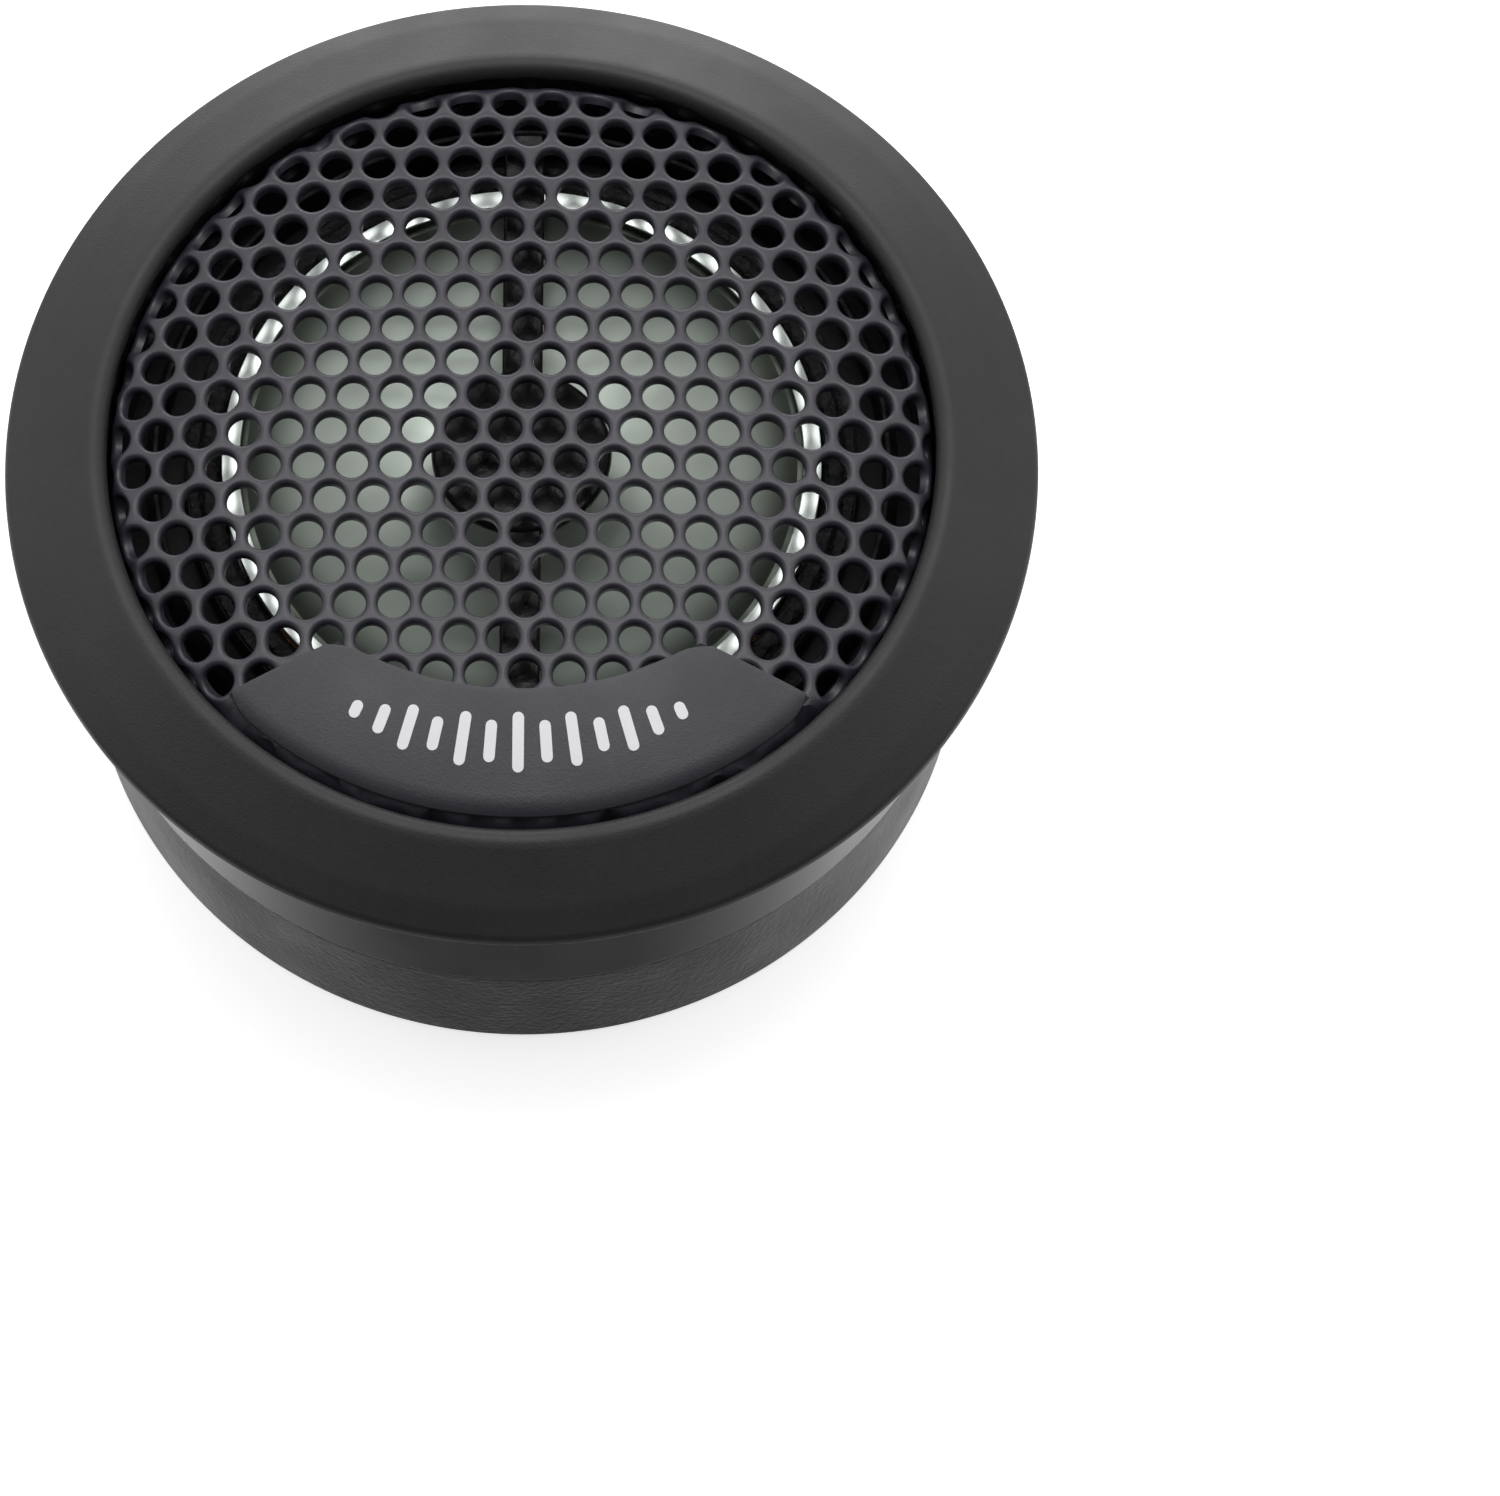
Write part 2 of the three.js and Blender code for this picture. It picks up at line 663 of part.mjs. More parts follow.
const gasket = tube(GASKET_INNER_R, FRAME_R, FRAME_TOP_Z, LEDGE_Z, INNER_SIDES);
const driver = new THREE.Group();
driver.add(piece('driver_frame', driverFrame(), materials.frame));
driver.add(piece('frame_gasket', gasket, materials.gasket));
driver.add(piece('retaining_ring', retainingRing(), materials.ring));
driver.add(piece('surround', surround(), materials.surround));
driver.add(piece('phase_plug', phasePlug(), materials.plug));

const former = tube(FORMER_R, FORMER_R + FORMER_WALL, COIL_LOW_Z, FORMER_TOP_Z, INNER_SIDES);
const winding = tube(COIL_R, COIL_R + COIL_WALL, COIL_LOW_Z, COIL_TOP_Z, INNER_SIDES);
const moving = new THREE.Group();
moving.add(piece('dome', dome(), materials.dome));
moving.add(piece('voice_coil_former', former, materials.former));
moving.add(piece('voice_coil', winding, materials.winding));

const magnet = disc(MAGNET_R, YOKE_FLOOR_Z, MAGNET_TOP_Z, INNER_SIDES);
const felt = disc(FELT_R, PLATE_DISH_Z, PLATE_DISH_Z + FELT, SMALL_SIDES);
const motor = new THREE.Group();
motor.add(piece('yoke', yoke(), materials.steel));
motor.add(piece('magnet', magnet, materials.magnet));
motor.add(piece('top_plate', topPlate(), materials.steel));
motor.add(piece('felt_pad', felt, materials.felt));

const terminals = new THREE.Group();
terminals.add(piece('terminal_board', terminalBoard(), materials.board));
[['positive', 1], ['negative', -1]].forEach(([pole, side]) => {
  terminals.add(piece(`terminal_${pole}`, terminal(side * TERMINAL_X), materials.brass));
  terminals.add(piece(`terminal_rivet_${pole}`, rivet(side * TERMINAL_X), materials.brass));
  terminals.add(piece(`lead_${pole}`, lead(side), materials.braid));
});

const tweeter = new THREE.Group();
tweeter.add(cup, front, driver, moving, motor, terminals);

export default tweeter;
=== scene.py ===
"""The looks of a car tweeter on its surface-mount cup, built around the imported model.

The frame is in metres, +Z up, with the badge on the -Y side. Outlines here are in millimetres.
"""
import math

import bmesh
import bpy
from mathutils import Matrix, Vector


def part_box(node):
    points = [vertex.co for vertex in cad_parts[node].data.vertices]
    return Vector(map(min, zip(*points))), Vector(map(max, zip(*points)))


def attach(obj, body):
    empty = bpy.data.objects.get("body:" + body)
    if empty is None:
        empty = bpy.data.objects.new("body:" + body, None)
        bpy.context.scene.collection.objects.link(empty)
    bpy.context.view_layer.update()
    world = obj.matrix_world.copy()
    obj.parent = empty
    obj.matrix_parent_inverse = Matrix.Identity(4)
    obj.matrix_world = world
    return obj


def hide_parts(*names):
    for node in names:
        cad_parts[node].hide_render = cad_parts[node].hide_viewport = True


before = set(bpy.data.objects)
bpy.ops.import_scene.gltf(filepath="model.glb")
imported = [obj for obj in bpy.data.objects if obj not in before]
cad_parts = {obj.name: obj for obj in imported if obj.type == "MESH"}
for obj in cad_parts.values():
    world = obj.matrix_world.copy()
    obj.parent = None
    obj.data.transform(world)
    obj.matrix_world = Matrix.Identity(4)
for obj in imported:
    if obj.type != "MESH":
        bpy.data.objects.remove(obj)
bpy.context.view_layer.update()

MM = 0.001
SIDES = 192
FINE_SIDES = 256


# ---------- sizes from the frame, in millimetres ----------

def reach(node):
    """A node's outer radius."""
    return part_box(node)[1].x / MM


def low(node):
    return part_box(node)[0].z / MM


def high(node):
    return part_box(node)[1].z / MM


FLANGE_R = reach("front_housing")
LIP_Z = 23.7
SEAM_Z = low("front_housing")
UNDER_Z = 20.1
LIP_R = 20.4
SLEEVE_TOP_R = 22.8
SLEEVE_LOW_R = 22.63
SLEEVE_INNER_R = 21.3
LEDGE_Z = high("frame_gasket")
FLANGE_EDGE_Z = 20.98
FLANGE_SHOULDER = (24.2, 21.8)
FLANGE_CREST = (21.6, 23.18)

GRILLE_TOP_Z = high("grille")
SKIRT_R = reach("grille")
SKIRT_LOW_Z = low("grille")
CROWN_R = 19.5
CROWN_UNIT_R = 20
CROWN_FALLS = (0.56, 1.2)
SHOULDER_R = 1.02
SHEET = 0.55
HOLE_R = 0.8
HOLE_PITCH = 2.15
HOLE_ORIGIN = (-0.785, 0.425)
HOLE_ROUND = 0.25
HOLE_STEPS = 24
HOLE_FIELD_R = 22.0
HOLE_COVER = 1.2
SNAP = 0.02

BADGE_INNER_ARC_R = 16.2
BADGE_INNER_ARC_Y = 2.64
BADGE_INNER_CORNER = (8.85, -10.93)
BADGE_OUTER_CORNER = (14.48, -13.5)
BADGE_OUTER_R = 19.8
BADGE_HEIGHT = 0.4
BADGE_UNDER = 0.13
BADGE_ROLL_R = 19.1
BADGE_ROLL_FALL = 0.22
BADGE_END_START = 0.88
BADGE_SPAN_COSINE = 0.7

FRAME_R = reach("driver_frame")
FRAME_TOP_Z = low("frame_gasket")
FRAME_WALL_TOP_Z = high("driver_frame")
FRAME_SHELF_Z = 17
FRAME_SEAT_R = 16.6
FRAME_SEAT_Z = 20.4
FRAME_BORE_R = 15.1
GASKET_INNER_R = 20.5
DOME_R = 13.6
DOME_EDGE_Z = 21.0
DOME_CENTRE_Z = 17.6
RIM_R = reach("dome")
RIM_TOP_Z = high("dome")
RIM_WIDTH = 0.9
HUB_R = reach("phase_plug")
HUB_TOP_Z = high("phase_plug")
COIL_R = reach("voice_coil")
FORMER_R = reach("voice_coil_former")
LEAD_ANGLE = 17
YOKE_R = reach("yoke")
YOKE_LOW_Z = low("yoke")
YOKE_TOP_Z = high("yoke")

CUP_TOP_R = reach("rear_cup")
CUP_BASE_R = 22.0
SPIGOT_R = 21.1
SPIGOT_TOP_Z = high("rear_cup")
CUP_INNER_R = 20.3
CUP_FLOOR = 2.0
SEAM_GAP = 0.05
BEAD_Z = 10.6
BEAD_OUT = 0.12
SCREW_X = 12.5


# ---------- mesh helpers ----------

def rounded(corners, steps=5):
    """Points of a closed outline. Each corner is (r, z, radius of its fillet)."""
    points = []
    count = len(corners)
    for i, (r, z, radius) in enumerate(corners):
        here = Vector((r, z))
        back = (Vector(corners[i - 1][:2]) - here).normalized()
        on = (Vector(corners[(i + 1) % count][:2]) - here).normalized()
        if radius == 0:
            points.append((r, z))
            continue
        half = math.acos(max(-1, min(1, back.dot(on)))) / 2
        centre = here + (back + on).normalized() * (radius / math.sin(half))
        start = here + back * (radius / math.tan(half)) - centre
        end = here + on * (radius / math.tan(half)) - centre
        turn = math.atan2(start.x * end.y - start.y * end.x, start.dot(end))
        for k in range(steps + 1):
            arm = Matrix.Rotation(turn * k / steps, 2) @ start
            points.append(tuple(centre + arm))
    return points


def new_object(name, vertices, faces, smooth_angle=30):
    """A mesh object. Its faces point out, and are shaded smooth apart from edges sharper than the angle."""
    mesh = bpy.data.meshes.new(name)
    mesh.from_pydata([tuple(c * MM for c in v) for v in vertices], [], faces)
    bm = bmesh.new()
    bm.from_mesh(mesh)
    bmesh.ops.remove_doubles(bm, verts=bm.verts, dist=1e-7)
    bmesh.ops.recalc_face_normals(bm, faces=bm.faces)
    bm.to_mesh(mesh)
    bm.free()
    for polygon in mesh.polygons:
        polygon.use_smooth = True
    mesh.set_sharp_from_angle(angle=math.radians(smooth_angle))
    piece = bpy.data.objects.new(name, mesh)
    bpy.context.scene.collection.objects.link(piece)
    return piece


def even_normals(piece):
    """Keeps flat faces flat next to their fillets."""
    modifier = piece.modifiers.new("even_normals", "WEIGHTED_NORMAL")
    modifier.keep_sharp = True
    return piece


def turned(name, outline, sides=SIDES):
    """A closed outline of (r, z) turned about Z. Points on the axis are shared by all sides."""
    vertices, faces, rings = [], [], []
    for r, z in outline:
        start = len(vertices)
        if r < 1e-6:
            vertices.append((0, 0, z))
            rings.append([start] * sides)
            continue
        for k in range(sides):
            angle = 2 * math.pi * k / sides
            vertices.append((r * math.cos(angle), r * math.sin(angle), z))
        rings.append(list(range(start, start + sides)))
    for i, before in enumerate(rings):
        after = rings[(i + 1) % len(rings)]
        for k in range(sides):
            n = (k + 1) % sides
            corners = [before[k], before[n], after[n], after[k]]
            face = list(dict.fromkeys(corners))
            if len(face) > 2:
                faces.append(face)
    return even_normals(new_object(name, vertices, faces))


def ring(name, inner, outer, bottom, top, fillet):
    corners = [(inner, bottom), (outer, bottom), (outer, top), (inner, top)]
    return turned(name, rounded([(r, z, fillet) for r, z in corners], 3))


def disc(name, radius, bottom, top, fillet, sides=SIDES):
    corners = [(0, bottom, 0), (radius, bottom, fillet), (radius, top, fillet), (0, top, 0)]
    return turned(name, rounded(corners, 3), sides)


def block(name, size, centre, angle=0.0):
    """A box in millimetres, turned about the Z axis of the frame by an angle in degrees."""
    mesh = bpy.data.meshes.new(name)
    bm = bmesh.new()
    bmesh.ops.create_cube(bm, size=1)
    bmesh.ops.scale(bm, vec=[s * MM for s in size], verts=bm.verts)
    bmesh.ops.translate(bm, vec=[c * MM for c in centre], verts=bm.verts)
    turn = Matrix.Rotation(math.radians(angle), 3, "Z")
    bmesh.ops.rotate(bm, cent=(0, 0, 0), matrix=turn, verts=bm.verts)
    bm.to_mesh(mesh)
    bm.free()
    piece = bpy.data.objects.new(name, mesh)
    bpy.context.scene.collection.objects.link(piece)
    return piece


def apply_modifiers(piece):
    graph = bpy.context.evaluated_depsgraph_get()
    mesh = bpy.data.meshes.new_from_object(piece.evaluated_get(graph))
    piece.modifiers.clear()
    piece.data = mesh
    return piece


def combine(piece, tools, operation):
    """Cuts the tools from a piece, or joins them to it, and deletes them."""
    for tool in tools:
        modifier = piece.modifiers.new(operation.lower(), "BOOLEAN")
        modifier.operation = operation
        modifier.solver = "EXACT"
        modifier.object = tool
        apply_modifiers(piece)
        bpy.data.objects.remove(tool)
    piece.data.set_sharp_from_angle(angle=math.radians(30))
    return even_normals(piece)


def bevel(piece, width):
    modifier = piece.modifiers.new("bevel", "BEVEL")
    modifier.width = width * MM
    modifier.segments = 3
    modifier.limit_method = "ANGLE"
    modifier.angle_limit = math.radians(40)
    apply_modifiers(piece)
    for polygon in piece.data.polygons:
        polygon.use_smooth = True
    piece.data.set_sharp_from_angle(angle=math.radians(35))
    return even_normals(piece)


# ---------- materials ----------

# Most of a noise pattern's values lie between these two.
PATTERN_LOW = 0.3
PATTERN_HIGH = 0.7
# The length of a wave texture's period at a scale of 1, in metres.
WAVE_PERIOD = 0.31


class Material:
    """A Principled material with object-space noise for its grain."""

    def __init__(self, name, color, roughness, metallic=0.0, ior=1.5):
        self.material = bpy.data.materials.new(name)
        self.material.use_nodes = True
        self.nodes = self.material.node_tree.nodes
        self.links = self.material.node_tree.links
        self.shader = self.nodes["Principled BSDF"]
        self.set("Base Color", (*color, 1))
        self.set("Roughness", roughness)
        self.set("Metallic", metallic)
        self.set("IOR", ior)
        self.place = self.nodes.new("ShaderNodeTexCoord").outputs["Object"]
        self.normal = None

    def set(self, socket, value):
        self.shader.inputs[socket].default_value = value

    def noise(self, feature, detail):
        """Noise with features of about that size, in millimetres."""
        texture = self.nodes.new("ShaderNodeTexNoise")
        texture.inputs["Scale"].default_value = 1 / (feature * MM)
        texture.inputs["Detail"].default_value = detail
        self.links.new(self.place, texture.inputs["Vector"])
        return texture.outputs["Fac"]

    def cells(self, feature):
        """Rounded cells of about that size, in millimetres."""
        texture = self.nodes.new("ShaderNodeTexVoronoi")
        texture.inputs["Scale"].default_value = 1 / (feature * MM)
        self.links.new(self.place, texture.inputs["Vector"])
        return texture.outputs["Distance"]

    def bump(self, height, depth, strength=1.0):
        """Adds relief of that depth, in millimetres."""
        node = self.nodes.new("ShaderNodeBump")
        node.inputs["Strength"].default_value = strength
        node.inputs["Distance"].default_value = depth * MM
        self.links.new(height, node.inputs["Height"])
        if self.normal:
            self.links.new(self.normal, node.inputs["Normal"])
        self.normal = node.outputs["Normal"]
        self.links.new(self.normal, self.shader.inputs["Normal"])
        return self

    def vary(self, socket, pattern, lowest, highest):
        """Lets a pattern drive a number between two values."""
        node = self.nodes.new("ShaderNodeMapRange")
        node.inputs["From Min"].default_value = PATTERN_LOW
        node.inputs["From Max"].default_value = PATTERN_HIGH
        node.inputs["To Min"].default_value = lowest
        node.inputs["To Max"].default_value = highest
        self.links.new(pattern, node.inputs["Value"])
        self.links.new(node.outputs["Result"], self.shader.inputs[socket])
        return self

    def tint(self, pattern, first, second, start=PATTERN_LOW, end=PATTERN_HIGH):
        """Lets a pattern mix two base colours."""
        ramp = self.nodes.new("ShaderNodeValToRGB")
        ramp.color_ramp.elements[0].position = start
        ramp.color_ramp.elements[0].color = (*first, 1)
        ramp.color_ramp.elements[1].position = end
        ramp.color_ramp.elements[1].color = (*second, 1)
        self.links.new(pattern, ramp.inputs["Fac"])
        self.links.new(ramp.outputs["Color"], self.shader.inputs["Base Color"])
        return self

    def tint_outwards(self, inner, outer, start, end):
        """Mixes two base colours from one radius about Z to a larger one, in millimetres."""
        flat = self.nodes.new("ShaderNodeVectorMath")
        flat.operation = "MULTIPLY"
        flat.inputs[1].default_value = (1, 1, 0)
        length = self.nodes.new("ShaderNodeVectorMath")
        length.operation = "LENGTH"
        share = self.nodes.new("ShaderNodeMapRange")
        share.interpolation_type = "SMOOTHSTEP"
        share.inputs["From Min"].default_value = start * MM
        share.inputs["From Max"].default_value = end * MM
        self.links.new(self.place, flat.inputs[0])
        self.links.new(flat.outputs["Vector"], length.inputs[0])
        self.links.new(length.outputs["Value"], share.inputs["Value"])
        return self.tint(share.outputs["Result"], inner, outer, 0, 1)


def eroded_plastic(name, color, roughness, grain, depth, ior=1.5):
    """Moulded plastic with a fine spark-eroded grain."""
    look = Material(name, color, roughness, 0.0, ior)
    look.tint(look.noise(grain * 4, 3), color, tuple(c * 1.2 for c in color))
    look.vary("Roughness", look.noise(5.0, 4), roughness * 0.9, roughness * 1.12)
    look.bump(look.noise(grain, 3), depth)
    look.bump(look.cells(grain * 1.6), depth * 0.7)
    return look.material


def gloss_plastic(name, color, roughness):
    """Polished moulding, slightly uneven in gloss."""
    look = Material(name, color, roughness)
    look.vary("Roughness", look.noise(3.0, 4), roughness * 0.8, roughness * 1.4)
    look.bump(look.noise(1.2, 2), 0.003, 0.3)
    return look.material


def wrinkled_plastic(name, color, roughness, ior):
    """Moulded plastic with shallow flow wrinkles."""
    look = Material(name, color, roughness, 0.0, ior)
    look.vary("Roughness", look.noise(0.7, 4), roughness * 0.8, roughness * 1.5)
    look.bump(look.noise(0.5, 3), 0.05)
    return look.material


def satin_plastic(name, color, roughness):
    """Smooth moulding or print with a soft sheen."""
    look = Material(name, color, roughness)
    look.vary("Roughness", look.noise(1.5, 4), roughness * 0.85, roughness * 1.2)
    look.bump(look.noise(0.3, 2), 0.006)
    return look.material


def painted_steel(name, color, roughness, ior):
    """Sprayed paint with a faint orange peel and a thin glossy skin."""
    look = Material(name, color, roughness, 0.0, ior)
    look.set("Coat Weight", 0.12)
    look.set("Coat Roughness", 0.15)
    look.tint(look.noise(0.6, 3), color, tuple(c * 1.25 for c in color))
    look.bump(look.noise(0.22, 3), 0.008)
    return look.material


def metal(name, color, roughness, grain=0.4, depth=0.002):
    """Bare or plated metal, slightly uneven in gloss."""
    look = Material(name, color, roughness, 1.0)
    look.vary("Roughness", look.noise(grain * 3, 4), roughness * 0.8, roughness * 1.25)
    look.bump(look.noise(grain, 3), depth)
    return look.material


def metal_with_painted_rim_shade(name, color, painted_shade_color, roughness, start, end):
    """Thin drawn sheet whose base colour darkens outwards between two radii: painted shade and dark
    reflection where a raised rim shades its edge.
    """
    look = Material(name, color, roughness, 1.0)
    look.tint_outwards(color, painted_shade_color, start, end)
    look.vary("Roughness", look.noise(3.6, 4), roughness * 0.8, roughness * 1.25)
    look.bump(look.noise(1.2, 3), 0.001)
    return look.material


def coated_cloth(name, color):
    """Woven cloth under a tacky damping coat, with small bright specks where the coat stands up."""
    look = Material(name, color, 0.5, 0.0, 1.35)
    look.vary("Roughness", look.noise(0.35, 3), 0.35, 0.7)
    look.bump(look.cells(0.4), 0.16)
    look.bump(look.noise(0.16, 3), 0.07)
    return look.material


def soft_foam(name, color, cell=0.2):
    """Foam or felt with open pores."""
    look = Material(name, color, 0.95)
    look.tint(look.noise(cell * 3, 3), color, tuple(c * 1.8 for c in color))
    look.bump(look.cells(cell), 0.05)
    return look.material


def copper_turns(name, color):
    """Wire turns stacked along Z."""
    pitch = 0.18
    look = Material(name, color, 0.3, 1.0)
    wave = look.nodes.new("ShaderNodeTexWave")
    wave.bands_direction = "Z"
    wave.inputs["Scale"].default_value = WAVE_PERIOD / (pitch * MM)
    look.links.new(look.place, wave.inputs["Vector"])
    look.bump(wave.outputs["Fac"], 0.06)
    look.vary("Roughness", look.noise(0.5, 2), 0.25, 0.45)
    return look.material


# ---------- grille ----------

def crown_z(r):
    """The height of the grille's crown, and of the sheet's outer skin inside its shoulder."""
    share = r / CROWN_UNIT_R
    return GRILLE_TOP_Z - CROWN_FALLS[0] * share ** 2 - CROWN_FALLS[1] * share ** 4


def crown_slope(r):
    share = r / CROWN_UNIT_R
    return (2 * CROWN_FALLS[0] * share + 4 * CROWN_FALLS[1] * share ** 3) / CROWN_UNIT_R


SHOULDER_START = math.acos((CROWN_R - SKIRT_R + SHOULDER_R) / SHOULDER_R)
SHOULDER_CENTRE_Z = crown_z(CROWN_R) - SHOULDER_R * math.sin(SHOULDER_START)
SHEET_END = CROWN_R + SHOULDER_START * SHOULDER_R + SHOULDER_CENTRE_Z - SKIRT_LOW_Z


def on_sheet(x, y, depth):
    """The place on the drawn sheet of a point of the flat blank, at a depth under the outer skin."""
    flat_r = math.hypot(x, y)
    if flat_r <= CROWN_R:
        r, z = flat_r, crown_z(flat_r)
        angle = math.atan2(1, crown_slope(flat_r))
    else:
        angle = max(0, SHOULDER_START - (flat_r - CROWN_R) / SHOULDER_R)
        r = SKIRT_R - SHOULDER_R + SHOULDER_R * math.cos(angle)
        z = SHOULDER_CENTRE_Z + SHOULDER_R * math.sin(angle)
        z -= max(0, flat_r - CROWN_R - SHOULDER_START * SHOULDER_R)
    r -= depth * math.cos(angle)
    z -= depth * math.sin(angle)
    scale = r / flat_r if flat_r > 1e-6 else 0
    return x * scale, y * scale, z


def badge_side(x, y):
    """How far a point lies inside the badge's outline, in millimetres, negative outside it."""
    inner = math.hypot(x, y - BADGE_INNER_ARC_Y) - BADGE_INNER_ARC_R
    outer = BADGE_OUTER_R - math.hypot(x, y)
    (ax, ay), (bx, by) = BADGE_INNER_CORNER, BADGE_OUTER_CORNER
    length = math.hypot(bx - ax, by - ay)
    end = ((bx - ax) * (ay - y) - (by - ay) * (ax - abs(x))) / length
    return min(inner, outer, end)


def grille_sheet():
    """Perforated sheet: each hexagon round a hole is a fan of quads, rounded at the hole's upper edge."""
    vertices, faces, shared = [], [], {}

    def point(x, y, depth, common=False):
        """Adds a point of the blank. Hexagons share their corners, so a common point is made only once."""
        across, along = round(x / SNAP), round(y / SNAP)
        if common:
            for key in ((across + a, along + b, depth) for a in (0, -1, 1) for b in (0, -1, 1)):
                if key in shared:
                    return shared[key]
            shared[(across, along, depth)] = len(vertices)
        vertices.append([x, y, depth])
        return len(vertices) - 1

    def loop(cx, cy, radius, depth):
        corners = []
        for k in range(HOLE_STEPS):
            angle = 2 * math.pi * k / HOLE_STEPS
            to_side = (angle + math.pi / 6) % (math.pi / 3) - math.pi / 6
            r = radius or HOLE_PITCH / 2 / math.cos(to_side)
            corners.append(point(cx + r * math.cos(angle), cy + r * math.sin(angle), depth, radius is None))
        return corners

    rows = int(SHEET_END / HOLE_PITCH) + 4
    edge_gap = 0.2
    steps = 4
    for j in range(-rows, rows + 1):
        for i in range(-2 * rows, 2 * rows + 1):
            cx = HOLE_ORIGIN[0] + HOLE_PITCH * (i + j / 2)
            cy = HOLE_ORIGIN[1] + HOLE_PITCH * math.sqrt(3) / 2 * j
            flat_r = math.hypot(cx, cy)
            if flat_r > SHEET_END - edge_gap:
                continue
            loops = [loop(cx, cy, None, 0.0)]
            behind_badge = flat_r > BADGE_OUTER_R - HOLE_COVER and -cy / flat_r > BADGE_SPAN_COSINE
            pierced = flat_r < HOLE_FIELD_R and badge_side(cx, cy) < HOLE_COVER and not behind_badge
            if pierced:
                for k in range(steps + 1):
                    turn = math.pi / 2 * k / steps
                    radius = HOLE_R + HOLE_ROUND * (1 - math.sin(turn))
                    loops.append(loop(cx, cy, radius, HOLE_ROUND * (1 - math.cos(turn))))
                loops.append(loop(cx, cy, HOLE_R, SHEET))
            else:
                loops.append(loop(cx, cy, HOLE_R, 0.0))
            bottom = loop(cx, cy, None, SHEET)
            if pierced:
                loops.append(bottom)
            else:
                faces.append(loops[-1])
                under = loop(cx, cy, HOLE_R, SHEET)
                faces.append(under[::-1])
                faces.extend(strips([under, bottom]))
            faces.extend(strips(loops))
    close_rim(vertices, faces)
    placed = [on_sheet(*v) for v in vertices]
    return new_object("grille_sheet", placed, faces, 40)


def strips(loops):
    """Quads between each loop and the next."""
    made = []
    for a, b in zip(loops, loops[1:]):
        for k in range(len(a)):
            n = (k + 1) % len(a)
            made.append([a[k], a[n], b[n], b[k]])
    return made


def close_rim(vertices, faces):
    """Pushes the blank's ragged edge out to a circle, and joins its upper and lower skins there."""
    uses = {}
    for face in faces:
        for a, b in zip(face, face[1:] + face[:1]):
            uses.setdefault(frozenset((a, b)), []).append((a, b))
    edges = [pairs[0] for pairs in uses.values() if len(pairs) == 1]
    partner = {}
    for a in {v for edge in edges for v in edge}:
        partner[tuple(vertices[a])] = a
    for a, b in edges:
        if vertices[a][2] == 0 and vertices[b][2] == 0:
            under = [partner[(vertices[v][0], vertices[v][1], SHEET)] for v in (a, b)]
            faces.append([a, b, under[1], under[0]])
    for a in partner.values():
        x, y, _ = vertices[a]
        scale = SHEET_END / math.hypot(x, y)
        vertices[a][0] = x * scale
        vertices[a][1] = y * scale


# ---------- badge ----------

def badge_point(across, out):
    """A point of the badge in plan: across runs from -1 to 1, out from the inner arc to the outer edge."""
    inner_angle = math.atan2(BADGE_INNER_CORNER[1] - BADGE_INNER_ARC_Y, BADGE_INNER_CORNER[0])
    outer_angle = math.atan2(BADGE_OUTER_CORNER[1], BADGE_OUTER_CORNER[0])
    a = -math.pi / 2 + across * (inner_angle + math.pi / 2)
    b = -math.pi / 2 + across * (outer_angle + math.pi / 2)
    inner = Vector((math.cos(a), math.sin(a))) * BADGE_INNER_ARC_R + Vector((0, BADGE_INNER_ARC_Y))
    outer = Vector((math.cos(b), math.sin(b))) * BADGE_OUTER_R
    near_end = max(0, (abs(across) - BADGE_END_START) / (1 - BADGE_END_START)) ** 2
    inner_round, outer_round = 0.1 * near_end, 0.08 * near_end
    return inner.lerp(outer, inner_round + (1 - inner_round - outer_round) * out)


def badge_top(r):
    """The badge's upper face, which rolls down at its outer edge."""
    roll = max(0, (r - BADGE_ROLL_R) / (BADGE_OUTER_R - BADGE_ROLL_R))
    return crown_z(r) + BADGE_HEIGHT - BADGE_ROLL_FALL * roll ** 2


def badge_under(r):
    """The badge's underside, which keeps clear of the grille's crown and its shoulder."""
    centre_r = SKIRT_R - SHOULDER_R
    over = max(0, r - centre_r)
    shoulder = SHOULDER_CENTRE_Z + math.sqrt(max(0, SHOULDER_R ** 2 - over ** 2))
    return (crown_z(r) if r < CROWN_R else shoulder) + BADGE_UNDER


def badge_plate():
    columns, rows = 96, 20
    vertices, faces = [], []
    for height in (badge_top, badge_under):
        for i in range(columns + 1):
            for j in range(rows + 1):
                x, y = badge_point(2 * i / columns - 1, j / rows)
                vertices.append((x, y, height(math.hypot(x, y))))

    def index(layer, i, j):
        return layer * (columns + 1) * (rows + 1) + i * (rows + 1) + j

    for layer in (0, 1):
        for i in range(columns):
            for j in range(rows):
                faces.append([index(layer, i, j), index(layer, i + 1, j),
                              index(layer, i + 1, j + 1), index(layer, i, j + 1)])
    for i in range(columns):
        for j in (0, rows):
            faces.append([index(0, i, j), index(0, i + 1, j), index(1, i + 1, j), index(1, i, j)])
    for j in range(rows):
        for i in (0, columns):
            faces.append([index(0, i, j), index(0, i, j + 1), index(1, i, j + 1), index(1, i, j)])
    return bevel(new_object("badge_plate", vertices, faces), 0.08)


